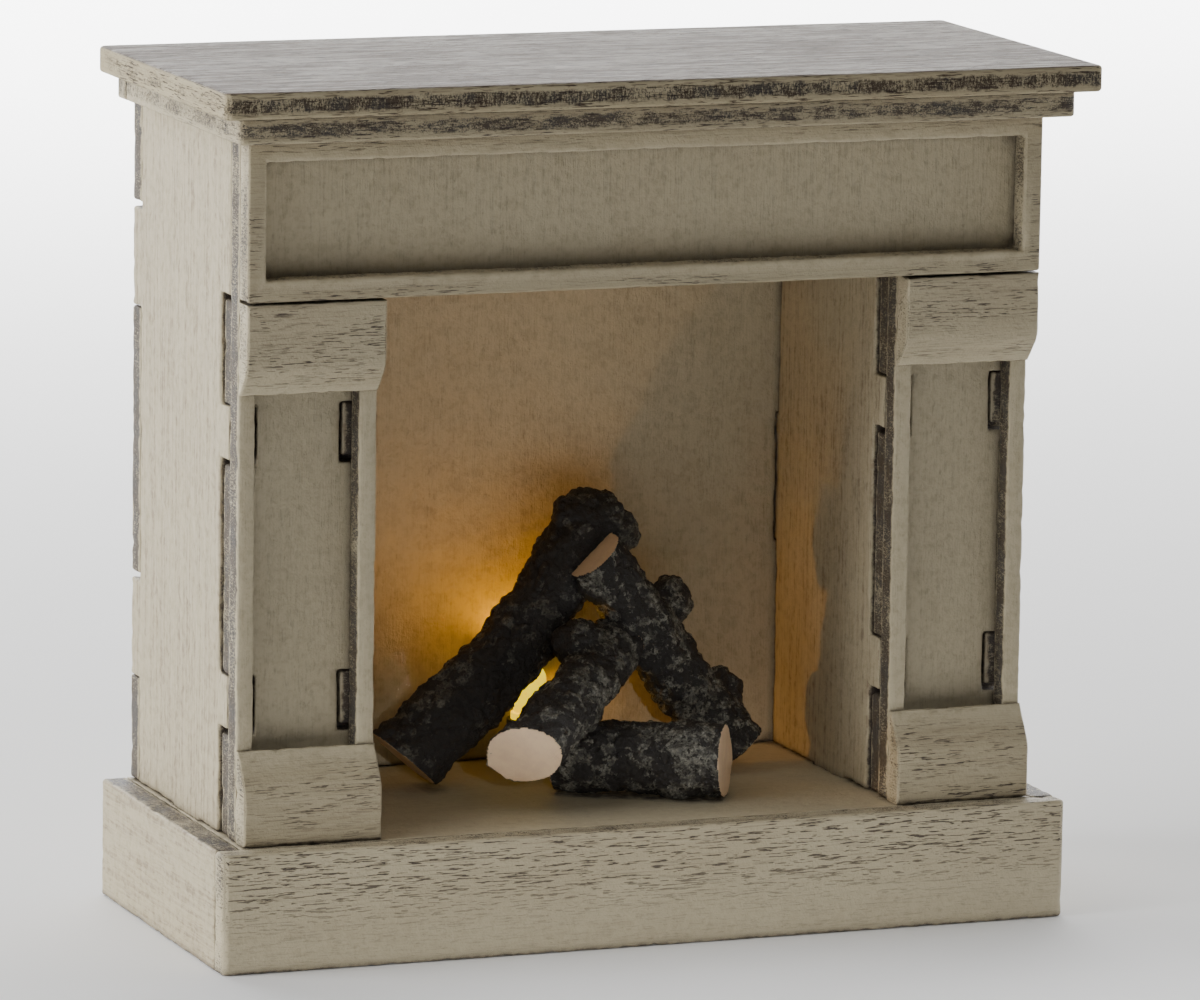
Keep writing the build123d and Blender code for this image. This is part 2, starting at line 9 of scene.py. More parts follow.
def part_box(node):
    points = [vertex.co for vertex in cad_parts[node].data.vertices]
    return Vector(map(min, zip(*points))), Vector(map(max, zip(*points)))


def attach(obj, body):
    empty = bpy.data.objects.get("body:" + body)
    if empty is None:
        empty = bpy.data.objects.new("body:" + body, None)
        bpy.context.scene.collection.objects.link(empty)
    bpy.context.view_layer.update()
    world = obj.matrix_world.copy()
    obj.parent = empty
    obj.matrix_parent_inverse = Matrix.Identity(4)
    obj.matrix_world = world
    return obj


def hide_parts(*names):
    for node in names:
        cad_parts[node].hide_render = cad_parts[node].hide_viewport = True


# A dolls house fireplace in chalky painted plywood, with a lit log fire. Lengths are in metres,
# and the patterns of the materials are in millimetres.

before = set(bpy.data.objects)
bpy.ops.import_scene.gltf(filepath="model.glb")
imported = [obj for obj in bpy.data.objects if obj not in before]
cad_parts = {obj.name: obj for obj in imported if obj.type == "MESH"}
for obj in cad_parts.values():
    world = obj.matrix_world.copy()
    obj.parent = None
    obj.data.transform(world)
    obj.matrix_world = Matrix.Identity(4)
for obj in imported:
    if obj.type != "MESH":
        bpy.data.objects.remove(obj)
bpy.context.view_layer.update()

MM = 0.001
X, Y, Z = 0, 1, 2
UP = Vector((0.0, 0.0, 1.0))
BODY = "mantel"

# ---- Camera ----
CAMERA_PLACE = (-0.4455, -1.1553, 0.2787)
CAMERA_YAW = radians(21.145)        # to the right of +Y
CAMERA_PITCH = radians(9.893)       # downwards
CAMERA_ROLL = radians(0.841)
CAMERA_LENS = 251.2
CAMERA_REACH = 20.0

# ---- Colours, linear ----
PAINT = (0.45, 0.385, 0.25)
PAINT_PALE = (0.60, 0.525, 0.36)
PAINT_WARM = (0.36, 0.285, 0.175)
PAINT_GRAIN = (0.25, 0.18, 0.115)
WAX = (0.055, 0.036, 0.026)
# dark stain of rubbed plies, also the colour of the painted shade in corners
STAIN_AND_SHADE = (0.045, 0.030, 0.024)
STAIN_BLUE = (0.036, 0.032, 0.036)
# pale streaks on the shelf's top, partly painted sheen
BRUSHED_SHEEN = (0.50, 0.455, 0.40)
BARE = (0.19, 0.145, 0.11)
PORE = (0.085, 0.062, 0.047)
CHAR = (0.036, 0.031, 0.027)
ASH_GREEN = (0.46, 0.44, 0.36)
FLECK_BLUE_GREY = (0.22, 0.225, 0.25)
CUT_WOOD = (0.93, 0.69, 0.45)
CUT_WOOD_DARK = (0.86, 0.62, 0.41)
AMBER = (1.0, 0.44, 0.002)
FLAME = (1.0, 0.78, 0.0)
FLAME_DEEP = (1.0, 0.62, 0.0)
BLACK = (0.02, 0.02, 0.021)
WIRE_BLACK = (0.012, 0.012, 0.013)
WIRE_RED = (0.45, 0.015, 0.012)
STEEL = (0.75, 0.74, 0.72)
BRASS = (0.80, 0.60, 0.28)
FLOOR = (0.90, 0.90, 0.90)
FLOOR_PALE = (0.93, 0.93, 0.93)
WHITE = (1.0, 1.0, 1.0)

# ---- Studio ----
WORLD_LIGHT = 0.03          # strength of the surroundings as a light
WORLD_SEEN = 2.5            # and as a background
FLOOR_REACH = 3.0           # from the middle of the floor to its sides
SOFTBOX_AIM = (0.0, 0.0, 0.06)
SOFTBOXES = {               # place, size and power
    "left_softbox": ((-0.89, 0.06, 0.22), (0.6, 0.6), 8.6),
    "left_high_softbox": ((-0.63, -0.06, 0.70), (0.6, 0.6), 2.6),
    "right_softbox": ((0.87, 0.08, 0.29), (0.6, 0.6), 4.5),
    "back_softbox": ((0.0, 0.90, 0.69), (1.0, 0.6), 1.0),
    "front_softbox": ((-0.15, -0.84, 0.91), (0.8, 0.5), 0.55),
}
SPOTS = {                   # place, aim, width of the cone and power
    "near_floor": ((0.0, -0.16, 0.70), (0.0, -0.16, 0.0), radians(24), 8.0),
    "low_front": ((-0.22, -0.80, 0.22), (0.0, -0.03, -0.05), radians(16), 6.0),
}
SPOT_BLEND = 0.8
WASH_PLACE = (0.5, 1.6, 0.50)   # of the light on the floor behind the part
WASH_AIM = (0.5, 1.6, 0.0)
WASH_SIZE = (2.4, 1.6)
WASH_POWER = 140.0

# ---- The fire's light. Its shifts are measured from the top of the lamp's dome ----
GLOW_SHIFT = Vector((-0.0012, 0.0014, 0.0008))
BEAM_SHIFT = Vector((-0.0102, -0.0045, 0.0079))
BEAM_WAY = Vector((0.0, 1.0, 0.35))
LOW_SHIFT = Vector((0.0036, 0.0, -0.0040))
LOW_WAY = Vector((0.6, 0.65, -0.8))
CHEEK_AIM = (0.013, 0.028)      # Y and Z of the middle of its patch on the right cheek
LAMP_RADIUS = 0.4 * MM
LENS_GLOW = 1.4                 # emission of the lamp's own surface


# ---- Boards ----
class Board(NamedTuple):
    """How one board is painted and worn. The axes are X, Y or Z."""

    grain: int                  # axis along the grain
    thickness: int              # axis through the plies
    rubbing: tuple              # wear of the paint on the edges across X, Y and Z, from 0 to 1
    wax: float                  # how many grain lines are filled with dark wax, from 0 to 1
    pale: float = 0.0           # share of the pale paint; on the cap blocks, hearth and plinth front it is painted light
    border: float = 0.25        # paint that is left at the corners of its edges, in mm
    specular: float = 0.5


# The paler paint on the cap blocks, the hearth and the plinth's front is painted light from the floor and
# the front.
BOARDS = {
    "shelf_board": Board(X, Z, (0.0, 0.48, 0.0), 0.6, border=0.75, specular=0.12),
    "cornice_board": Board(X, Z, (0.25, 0.42, 0.2), 0.6, border=0.75),
    "cornice_back_strip": Board(X, Z, (0.3, 0.6, 0.2), 0.6),
    "frieze_frame": Board(X, Y, (0.2, 0.0, 0.2), 0.4),
    "face_frame": Board(Z, Y, (0.65, 0.0, 0.6), 0.5),
    "front_panel": Board(Z, Y, (0.75, 0.0, 0.7), 0.65),
    "cap_block_left": Board(X, Y, (0.1, 0.0, 0.1), 0.45, pale=0.4),
    "cap_block_right": Board(X, Y, (0.1, 0.0, 0.1), 0.45, pale=0.4),
    "base_block_left": Board(X, Y, (0.1, 0.0, 0.1), 0.5),
    "base_block_right": Board(X, Y, (0.1, 0.0, 0.1), 0.55),
    "side_wall_left": Board(Z, X, (0.0, 0.65, 0.5), 0.9),
    "side_wall_right": Board(Z, X, (0.0, 0.65, 0.5), 0.9),
    "cheek_left": Board(Z, X, (0.0, 0.85, 0.6), 0.35),
    "cheek_right": Board(Z, X, (0.0, 0.85, 0.6), 0.35),
    "back_panel": Board(Z, Y, (0.75, 0.0, 0.6), 0.6),
    "firebox_ceiling": Board(X, Z, (0.5, 0.5, 0.0), 0.3),
    "hearth_board": Board(X, Z, (0.6, 0.6, 0.0), 0.2, pale=0.7),
    "plinth_front_board": Board(X, Y, (0.1, 0.0, 0.1), 0.95, pale=0.5),
    "plinth_side_board_left": Board(Y, X, (0.0, 0.5, 0.6), 0.8),
    "plinth_side_board_right": Board(Y, X, (0.0, 0.5, 0.6), 0.8),
    "plinth_rear_board": Board(X, Y, (0.3, 0.0, 0.3), 0.7),
}
BOARD_SEED = (7.3, 3.1, 5.7)        # step in the unevenness from one board to the next
BOARD_PATTERN = (37.0, 23.0, 51.0)  # and in the pattern of the paint, in mm
MESH_STEP = 1.25 * MM       # spacing of the boards' extra edge loops
CORNER = 0.45 * MM          # width of the sanded corners
WARP = 0.06 * MM            # depth of the slow unevenness of a board's faces
WARP_WAVES = 0.09           # and its waves per millimetre
CHIP = 0.28 * MM            # deepest nick in a corner
CHIP_WAVES = 0.55
SPLINTER_WAVES = 1.7
PAINT_RELIEF = 0.14 * MM
WAX_COVER = 0.9             # how well the wax and the stain hide the paint
GRAIN = (0.14, 0.45)        # how strongly open grain shows, and the streaks' level where it starts
SIDE_GRAIN = (0.85, 0.50)   # and on the boards that face left and right
GRAIN_FADE = 0.08           # how far below that level it is at its strongest
# the ambient occlusion that paints shade into corners and recesses
CORNER_SHADE_REACH = 2.5 * MM
CORNER_SHADE_SAMPLES = 4

# ---- Logs ----
LOGS = {"left_log": 0.25, "front_log": 0.8, "right_log": 1.0, "low_log": 0.9}    # ash, from 0 to 1
LOG_SEED = (3.7, 9.1, 5.3)          # step in the relief from one log to the next
LOG_PATTERN = (31.0, 17.0, 0.0)     # and in the pattern of the char, in mm
LOG_VOXEL = 0.3 * MM
LUMPS = (0.15, 0.9)         # waves per millimetre, and height in mm
KNOTS = (0.45, 0.6)
GRIT = (1.5, 0.22)
SAWN_WARP = (0.35, 0.12)
PLATE_WAVES = 0.5
CRACK_DEPTH = 0.32          # in mm
CRACK_STEEPNESS = 5.0
SAWN_AREA = 12e-6           # a flat face of a log larger than this is a sawn end
SAWN_REACH = 0.8 * LOG_VOXEL    # a point that is nearer than this to the end's plane lies on it
SAWN_FACING = 0.8           # and belongs to it where its normal and the end's multiply to more
DOWN = -0.99                # a normal whose Z is lower points straight down
BARK_RELIEF = 0.28 * MM

# ---- Meshes ----
WELD = 1e-6
ON_PLANE = 1e-7
FLAT = radians(1.0)         # faces that meet at less than this are one face
CORNERED = radians(30)      # edges that are sharper than this get a sanded corner
BOARD_SHARP = radians(35)
BARK_SHARP = radians(60)

# ---- A Mix node's data type, its two inputs and its output ----
MIX_VECTORS = ("VECTOR", 4, 5, 1)
MIX_COLOURS = ("RGBA", 6, 7, 2)


# ---- Node graphs ----
class Graph:
    """Builds one material's nodes. Inputs take sockets or plain values."""

    def __init__(self, name):
        self.material = bpy.data.materials.new(name)
        self.material.use_nodes = True
        self.tree = self.material.node_tree
        self.surface = self.tree.nodes["Principled BSDF"]

    def node(self, kind, inputs=(), **settings):
        made = self.tree.nodes.new(kind)
        for key, value in settings.items():
            setattr(made, key, value)
        for slot, value in dict(inputs).items():
            self.feed(made.inputs[slot], value)
        return made

    def feed(self, socket, value):
        if isinstance(value, bpy.types.NodeSocket):
            self.tree.links.new(value, socket)
        elif socket.type == "RGBA":
            socket.default_value = (*value, 1.0)
        else:
            socket.default_value = value

    def set(self, **inputs):
        """Feeds the shader's inputs. An underscore stands for a space in their names."""
        for name, value in inputs.items():
            self.feed(self.surface.inputs[name.replace("_", " ")], value)

    def math(self, operation, a, b=0.0):
        return self.node("ShaderNodeMath", {0: a, 1: b}, operation=operation).outputs[0]

    def product(self, *factors):
        total = factors[0]
        for factor in factors[1:]:
            total = self.math("MULTIPLY", total, factor)
        return total

    def sum(self, *terms):
        total = terms[0]
        for term in terms[1:]:
            total = self.math("ADD", total, term)
        return total

    def vector(self, operation, a, b, output="Vector"):
        return self.node("ShaderNodeVectorMath", {0: a, 1: b}, operation=operation).outputs[output]

    def coordinate(self, place, axis):
        return self.node("ShaderNodeSeparateXYZ", {0: place}).outputs[axis]

    def normal(self):
        return self.node("ShaderNodeTexCoord").outputs["Normal"]

    def attribute(self, name):
        return self.node("ShaderNodeAttribute", attribute_name=name).outputs["Fac"]

    def millimetres(self, shift=(0.0, 0.0, 0.0)):
        """Object coordinates in millimetres, moved so that no two pieces share a pattern."""
        place = self.node("ShaderNodeTexCoord").outputs["Object"]
        scaled = self.vector("MULTIPLY", place, (1 / MM, 1 / MM, 1 / MM))
        return self.vector("ADD", scaled, shift)

    def turned_at_ends(self, place):
        """Coordinates whose X and Y change places on the faces across X."""
        parts = [self.coordinate(place, axis) for axis in (Y, X, Z)]
        turned = self.node("ShaderNodeCombineXYZ", dict(enumerate(parts))).outputs[0]
        facing = self.math("ABSOLUTE", self.coordinate(self.normal(), X))
        return self.mix(self.steps(facing, 0.6, 0.8), place, turned, MIX_VECTORS)

    def noise(self, place, waves, detail=2.0, roughness=0.5):
        """Noise with so many waves per millimetre: one number, or one for each axis."""
        stretch = waves if isinstance(waves, tuple) else (waves, waves, waves)
        stretched = self.vector("MULTIPLY", place, stretch)
        inputs = {"Vector": stretched, "Scale": 1.0, "Detail": detail, "Roughness": roughness}
        return self.node("ShaderNodeTexNoise", inputs).outputs["Fac"]

    def steps(self, value, low, high, to_low=0.0, to_high=1.0):
        """The value's smooth way from low to high, spread over to_low to to_high."""
        inputs = {"Value": value, "From Min": low, "From Max": high, "To Min": to_low, "To Max": to_high}
        return self.node("ShaderNodeMapRange", inputs, interpolation_type="SMOOTHSTEP").outputs["Result"]

    def mix(self, share, a, b, kind=MIX_COLOURS):
        data_type, first, second, result = kind
        made = self.node("ShaderNodeMix", {0: share, first: a, second: b}, data_type=data_type)
        return made.outputs[result]

    def bump(self, height, depth):
        made = self.node("ShaderNodeBump", {"Height": height, "Strength": 1.0, "Distance": depth})
        self.set(Normal=made.outputs["Normal"])


def along(axis, long, across):
    """One value along an axis and another across it, such as a pattern's waves per millimetre."""
    values = [across] * 3
    values[axis] = long
    return tuple(values)


def shaded(colour, share):
    return tuple(part * share for part in colour)


def blended(first, second, share):
    return tuple(a + (b - a) * share for a, b in zip(first, second))


def shift_of(steps, number):
    """A numbered piece's own place in a pattern."""
    return Vector([step * number for step in steps])


# ---- Painted plywood ----
def face_weight(graph, weights):
    """A number for each face, by the axis that it faces."""
    normal = graph.normal()
    squared = graph.vector("MULTIPLY", normal, normal)
    return graph.vector("DOT_PRODUCT", squared, weights, "Value")


def paint_coat(graph, place, lengthwise, board):
    """The paint itself: cloudy, streaked along the grain, and brown where the grain lies open."""
    clouds = graph.noise(place, along(board.grain, 0.03, 0.10), 3.0, 0.55)
    streaks = graph.noise(lengthwise, along(board.grain, 0.05, 1.5), 5.0, 0.70)
    # On the cap blocks, the hearth and the plinth's front the paler paint is painted light, for light
    # from the floor and the front.
    plain = blended(PAINT, PAINT_PALE, board.pale)
    colour = graph.mix(graph.product(graph.steps(clouds, 0.36, 0.66), 0.25), plain, PAINT_WARM)
    colour = graph.mix(graph.product(graph.steps(streaks, 0.46, 0.66), 0.22), colour, PAINT_PALE)
    strength, start = SIDE_GRAIN if board.thickness == X else GRAIN
    open_grain = graph.product(graph.steps(streaks, start, start - GRAIN_FADE), strength)
    return graph.mix(open_grain, colour, PAINT_GRAIN)


def brushed_top_and_sheen(graph, place, colour):
    """Pale streaks on the shelf's upper face, over bare brown: partly dry-brushed paint and partly a
    painted sheen of the light from behind.
    """
    up = graph.steps(graph.coordinate(graph.normal(), Z), 0.6, 0.9)
    strokes = graph.noise(place, along(X, 0.05, 0.5), 6.0, 0.72)
    pores = graph.noise(place, along(X, 0.18, 1.3), 4.0, 0.7)
    where = graph.noise(place, (0.021, 0.0525, 0.035))
    level = graph.sum(graph.product(strokes, 0.8), graph.product(where, 0.2))
    worn = graph.mix(graph.steps(level, 0.42, 0.58), BARE, BRUSHED_SHEEN)
    worn = graph.mix(graph.product(graph.steps(pores, 0.53, 0.60), 0.85), worn, PORE)
    return graph.mix(up, colour, worn)


def wax_lines(graph, lengthwise, board):
    """Short dark lines where wax stayed in the grain, and faint hairs between them."""
    dashes = graph.noise(lengthwise, along(board.grain, 0.36, 4.6), 2.0, 0.6)
    hairs = graph.noise(lengthwise, along(board.grain, 0.14, 4.2))
    clumps = graph.noise(lengthwise, along(board.grain, 0.07, 0.30))
    spread = 0.4 * board.wax
    where = graph.steps(clumps, 0.60 - spread, 0.78 - spread, 0.5 * board.wax)
    bold = graph.product(graph.steps(dashes, 0.582, 0.612), where)
    faint = graph.product(graph.steps(hairs, 0.55, 0.64), graph.steps(clumps, 0.3, 0.6), 0.25)
    return graph.math("MAXIMUM", bold, faint)


def hanging_streaks(graph, place, shift):
    """Thin dark runs on the sunk frieze, most of them at its upper edge."""
    low, high = (corner.z / MM + shift.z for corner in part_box("frieze_frame"))
    runs = graph.noise(place, along(Z, 0.11, 2.4), 3.0, 0.6)
    height = graph.steps(graph.coordinate(place, Z), low, high, -0.08, 0.075)
    return graph.steps(graph.sum(runs, height), 0.57, 0.63)


def edge_band(graph, place, name, shift):
    """1 in the middle plies of a board's edge, and 0 near its two corners and on its main faces."""
    board = BOARDS[name]
    axis = board.thickness
    low, high = (corner[axis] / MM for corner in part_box(name))
    middle = (low + high) / 2 + shift[axis]
    half = (high - low) / 2
    distance = graph.math("ABSOLUTE", graph.math("SUBTRACT", graph.coordinate(place, axis), middle))
    wobble = graph.math("SUBTRACT", graph.noise(place, 0.6, 4.0, 0.7), 0.5)
    reach = graph.sum(distance, graph.product(wobble, half))
    across = along(axis, 0.0, 1.0)
    on_edge = graph.steps(face_weight(graph, across), 0.5, 0.8)
    painted = half - board.border
    return graph.product(graph.steps(reach, painted, painted - 0.3 * half), on_edge)


def rubbed_edge(graph, place, name, shift):
    """The mottle of dark plies where the paint on a board's edge is rubbed through."""
    board = BOARDS[name]
    across_plies = along(board.thickness, 1.0, 3.4)
    direction = along(X, 0.35, 1.5) if name == "cornice_board" else across_plies
    scratches = graph.noise(place, direction, 5.0, 0.75)
    grit = graph.noise(place, 4.5, 3.0, 0.75)
    patches = graph.math("SUBTRACT", graph.noise(place, 0.16, 3.0, 0.6), 0.5)
    level = graph.sum(graph.product(scratches, 0.55), graph.product(grit, 0.45),
                      graph.product(patches, 0.3), graph.product(face_weight(graph, board.rubbing), 0.20))
    return graph.product(graph.steps(level, 0.53, 0.63), edge_band(graph, place, name, shift))


def corner_shade_and_grime(graph, dry):
    """Painted shade, with some dirt, where two surfaces come close: darker where ambient occlusion is
    low, in patches.
    """
    occlusion = graph.node("ShaderNodeAmbientOcclusion", {"Distance": CORNER_SHADE_REACH}, samples=CORNER_SHADE_SAMPLES)
    near = graph.steps(occlusion.outputs["AO"], 0.80, 0.35)
    return graph.product(near, graph.steps(dry, 0.3, 0.65, 0.35, 0.9))


def paint_relief(graph, place, board, lines, rubbed):
    """Brush marks and orange peel in the paint, with sunk wax lines and rubbed plies."""
    peel = graph.noise(place, 1.4, 2.0, 0.6)
    fine = graph.noise(place, 4.0, 3.0, 0.7)
    brush = graph.noise(place, along(board.grain, 0.14, 5.0), 3.0, 0.6)
    height = graph.sum(graph.product(brush, 0.3), graph.product(lines, -0.8), graph.product(rubbed, -0.5),
                       graph.product(fine, 0.3), peel)
    graph.bump(height, PAINT_RELIEF)
    graph.set(Roughness=graph.steps(brush, 0.3, 0.7, 0.50, 0.72), Specular_IOR_Level=board.specular)


def painted_board(name, index):
    """Chalky paint on plywood: grain lines filled with dark wax, and edges rubbed back to a mottle."""
    board = BOARDS[name]
    shift = shift_of(BOARD_PATTERN, index)
    graph = Graph("paint_" + name)
    place = graph.millimetres(shift)
    lengthwise = graph.turned_at_ends(place) if board.grain == X else place
    dry = graph.noise(place, 0.7, 3.0, 0.6)
    corner = graph.steps(graph.attribute("arris"), 0.2, 0.9)

    colour = paint_coat(graph, place, lengthwise, board)
    # The shelf's top gets pale streaks, partly painted sheen.
    if name == "shelf_board":
        colour = brushed_top_and_sheen(graph, place, colour)
    lines = wax_lines(graph, lengthwise, board)
    if name == "face_frame":
        lines = graph.math("MAXIMUM", lines, hanging_streaks(graph, place, shift))
    lines = graph.product(lines, graph.steps(corner, 0.0, 1.0, 1.0, 0.25))
    colour = graph.mix(graph.product(lines, WAX_COVER), colour, WAX)
    colour = graph.mix(graph.product(corner, graph.steps(dry, 0.3, 0.6, 0.1, 0.6)), colour, PAINT_PALE)

    rubbed = rubbed_edge(graph, place, name, shift)
    tint = graph.mix(graph.steps(graph.noise(place, 0.25), 0.42, 0.6), STAIN_AND_SHADE, STAIN_BLUE)
    colour = graph.mix(graph.product(rubbed, WAX_COVER), colour, tint)
    # Painted shade in corners and recesses, with some dirt, darkens the paint towards the stain's colour.
    graph.set(Base_Color=graph.mix(corner_shade_and_grime(graph, dry), colour, STAIN_AND_SHADE))
    paint_relief(graph, place, board, lines, rubbed)
    return graph.material


# ---- Boards' meshes ----
def cut_places(low, high, step):
    """Evenly spaced places strictly between low and high."""
    count = max(1, round((high - low) / step))
    return [low + (high - low) * i / count for i in range(1, count)]


def add_loops(mesh, low, high, step):
    """Cuts the faces into cells of about one step, so that they can be moved."""
    for axis in (X, Y, Z):
        direction = Vector(along(axis, 1.0, 0.0))
        for place in cut_places(low[axis], high[axis], step):
            geometry = mesh.verts[:] + mesh.edges[:] + mesh.faces[:]
            bmesh.ops.bisect_plane(mesh, geom=geometry, dist=ON_PLANE, plane_co=direction * place,
                                   plane_no=direction)


def weather(mesh, arris, seed):
    """Moves each point inwards: a slow unevenness all over, and nicks along the corners."""
    mesh.normal_update()
    offset = shift_of(BOARD_SEED, seed)
    moves = []
    for vertex in mesh.verts:
        place = vertex.co / MM
        slow = 0.5 + 0.5 * noise.noise(place * WARP_WAVES + offset)
        nick = max(0.0, noise.noise(place * CHIP_WAVES + offset))
        splinter = max(0.0, noise.noise(place * SPLINTER_WAVES + offset))
        depth = WARP * slow + CHIP * (nick + 0.5 * splinter) * vertex[arris]
        moves.append(vertex.normal * -depth)
    for vertex, move in zip(mesh.verts, moves):
        vertex.co += move


def copied_mesh(name):
    """A welded copy of a CAD node's mesh, with its flat faces whole."""
    mesh = bmesh.new()
    mesh.from_mesh(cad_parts[name].data)
    bmesh.ops.remove_doubles(mesh, verts=mesh.verts, dist=WELD)
    bmesh.ops.dissolve_limit(mesh, angle_limit=FLAT, verts=mesh.verts, edges=mesh.edges)
    return mesh


def add_piece(name, node, mesh, smooth_angle):
    """Turns a bmesh into a piece that stands for a CAD node."""
    data = bpy.data.meshes.new(name)
    mesh.to_mesh(data)
    mesh.free()
    data.shade_smooth()
    data.set_sharp_from_angle(angle=smooth_angle)
    piece = bpy.data.objects.new(name, data)
    bpy.context.scene.collection.objects.link(piece)
    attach(piece, BODY)
    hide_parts(node)
    return piece


def add_board(name, index):
    """A weathered copy of a CAD board, with sanded corners and the painted surface."""
    low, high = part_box(name)
    mesh = copied_mesh(name)
    arris = mesh.verts.layers.float.new("arris")
    sharp = [edge for edge in mesh.edges if edge.is_manifold and edge.calc_face_angle() > CORNERED]
    made = bmesh.ops.bevel(mesh, geom=sharp, offset=CORNER, segments=2, profile=0.5, affect="EDGES",
                           clamp_overlap=True)
    for vertex in made["verts"]:
        vertex[arris] = 1.0
    add_loops(mesh, low, high, MESH_STEP)
    weather(mesh, arris, index)
    piece = add_piece(name + "_painted", name, mesh, BOARD_SHARP)
    piece.data.materials.append(painted_board(name, index))


# ---- Logs ----
def sawn_ends(mesh):
    """Planes of a log's sawn ends. A face that lies on the hearth is not one."""
    ends = []
    for face in mesh.faces:
        if face.calc_area() > SAWN_AREA and face.normal.z > DOWN:
            ends.append((face.calc_center_median(), face.normal.copy()))
    return ends


def remeshed(mesh, name):
    """The mesh as an even grid of small faces."""
    data = bpy.data.meshes.new(name)
    mesh.to_mesh(data)
    mesh.free()
    rough = bpy.data.objects.new(name, data)
    bpy.context.scene.collection.objects.link(rough)
    modifier = rough.modifiers.new("grid", "REMESH")
    modifier.mode = "VOXEL"
    modifier.voxel_size = LOG_VOXEL
    even = bpy.data.meshes.new_from_object(rough.evaluated_get(bpy.context.evaluated_depsgraph_get()))
    bpy.data.objects.remove(rough)
    result = bmesh.new()
    result.from_mesh(even)
    return result


def uneven(place, offset, layer):
    """One layer of a log's relief, in millimetres. The layer is its waves and its height."""
    waves, height = layer
    return noise.noise(place * waves + offset) * height


def lump_height(place, offset):
    return uneven(place, offset, LUMPS) + uneven(place, offset * 2, KNOTS)


def plate_height(place, offset):
    """Grit of the bark, and the cracks between its plates, in millimetres."""
    near, second = noise.voronoi(place * PLATE_WAVES + offset)[0][:2]
    crack = max(0.0, 1.0 - (second - near) * CRACK_STEEPNESS)
    return uneven(place, offset * 3, GRIT) - CRACK_DEPTH * crack


def end_facing(place, ends):
    """The direction of the sawn end that the place lies on, or None."""
    for centre, facing in ends:
        if abs((place - centre).dot(facing)) < SAWN_REACH:
            return facing
    return None


def bark_move(vertex, facing, offset):
    """How far a point of the bark goes. On a sawn end's rim it stays in the cut's plane."""
    place = vertex.co / MM
    if facing is None:
        return vertex.normal * (lump_height(place, offset) + plate_height(place, offset)) * MM
    move = vertex.normal * lump_height(place, offset) * MM
    return move - facing * move.dot(facing)


def sculpt_log(mesh, ends, seed):
    """Raises the bark, and warps the sawn ends a little. The sawn attribute is 1 on the ends."""
    mesh.normal_update()
    sawn = mesh.verts.layers.float.new("sawn")
    offset = shift_of(LOG_SEED, seed)
    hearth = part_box("hearth_board")[1].z
    moves = []
    for vertex in mesh.verts:
        facing = end_facing(vertex.co, ends)
        if facing and vertex.normal.dot(facing) > SAWN_FACING:
            vertex[sawn] = 1.0
            moves.append(vertex.normal * uneven(vertex.co / MM, offset, SAWN_WARP) * MM)
        else:
            moves.append(bark_move(vertex, facing, offset))
    for vertex, move in zip(mesh.verts, moves):
        vertex.co += move
        vertex.co.z = max(vertex.co.z, hearth)


def add_log(name, index):
    """A sculpted copy of a CAD log, with the charred surface."""
    mesh = copied_mesh(name)
    ends = sawn_ends(mesh)
    mesh = remeshed(mesh, name + "_grid")
    sculpt_log(mesh, ends, index + 1)
    piece = add_piece(name + "_bark", name, mesh, BARK_SHARP)
    piece.data.materials.append(charred_log(index, LOGS[name]))


def ash_flakes(graph, place, broken, share):
    """Where a log has flakes of ash, and how thick they lie, from 0 to 1."""
    plates = graph.noise(place, 0.42, 5.0, 0.62)
    patches = graph.math("SUBTRACT", graph.noise(place, 0.12), 0.5)
    level = graph.sum(plates, graph.product(patches, 0.5))
    least = 0.56 - 0.06 * share
    flakes = graph.product(graph.steps(level, least, least + 0.035), graph.steps(broken, 0.38, 0.48))
    thickness = graph.steps(graph.noise(place, 0.9, 3.0, 0.6), 0.35, 0.65, 0.2, 1.0)
    return graph.product(flakes, thickness, 0.4 + 0.6 * share)


def cut_colour(graph, place):
    blotch = graph.noise(place, 0.5, 3.0, 0.6)
    return graph.mix(graph.steps(blotch, 0.35, 0.7), CUT_WOOD, CUT_WOOD_DARK)


def charred_log(index, share):
    """Black char with flakes of grey-green ash and a pale blue-grey on the high spots, and pale sawn
    ends.
    """
    graph = Graph(f"charred_log_{index}")
    place = graph.millimetres(shift_of(LOG_PATTERN, index))
    fine = graph.noise(place, 3.0, 4.0, 0.7)
    broken = graph.noise(place, 1.6, 4.0, 0.7)
    flakes = ash_flakes(graph, place, broken, share)
    ash = graph.mix(graph.steps(fine, 0.35, 0.65), ASH_GREEN, shaded(ASH_GREEN, 0.35))
    colour = graph.mix(flakes, CHAR, ash)
    # pale blue-grey where the fine and the broken noise are both high
    blue_flecks = graph.product(graph.steps(fine, 0.55, 0.68), graph.steps(broken, 0.45, 0.6), 0.2 + 0.4 * share)
    colour = graph.mix(blue_flecks, colour, FLECK_BLUE_GREY)
    sawn = graph.steps(graph.attribute("sawn"), 0.35, 0.65)
    graph.set(Base_Color=graph.mix(sawn, colour, cut_colour(graph, place)))
    graph.set(Roughness=graph.steps(fine, 0.3, 0.7, 0.45, 0.7))
    bark = graph.sum(graph.product(fine, 0.8), graph.product(broken, 1.3), graph.product(flakes, 0.6))
    rough = graph.math("SUBTRACT", 1.0, graph.product(sawn, 0.85))
    graph.bump(graph.product(bark, rough), BARK_RELIEF)
    return graph.material


# ---- Small parts ----
def paint_node(name, material):
    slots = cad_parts[name].data.materials
    slots.clear()
    slots.append(material)


def lit_lens():
    """Amber plastic that glows, deeper in places."""
    graph = Graph("lit_lens")
    core = graph.noise(graph.millimetres(), 0.4)
    colour = graph.mix(graph.steps(core, 0.3, 0.7), FLAME, FLAME_DEEP)
    graph.set(Base_Color=colour, Roughness=0.15, Emission_Color=colour, Emission_Strength=LENS_GLOW)
    return graph.material


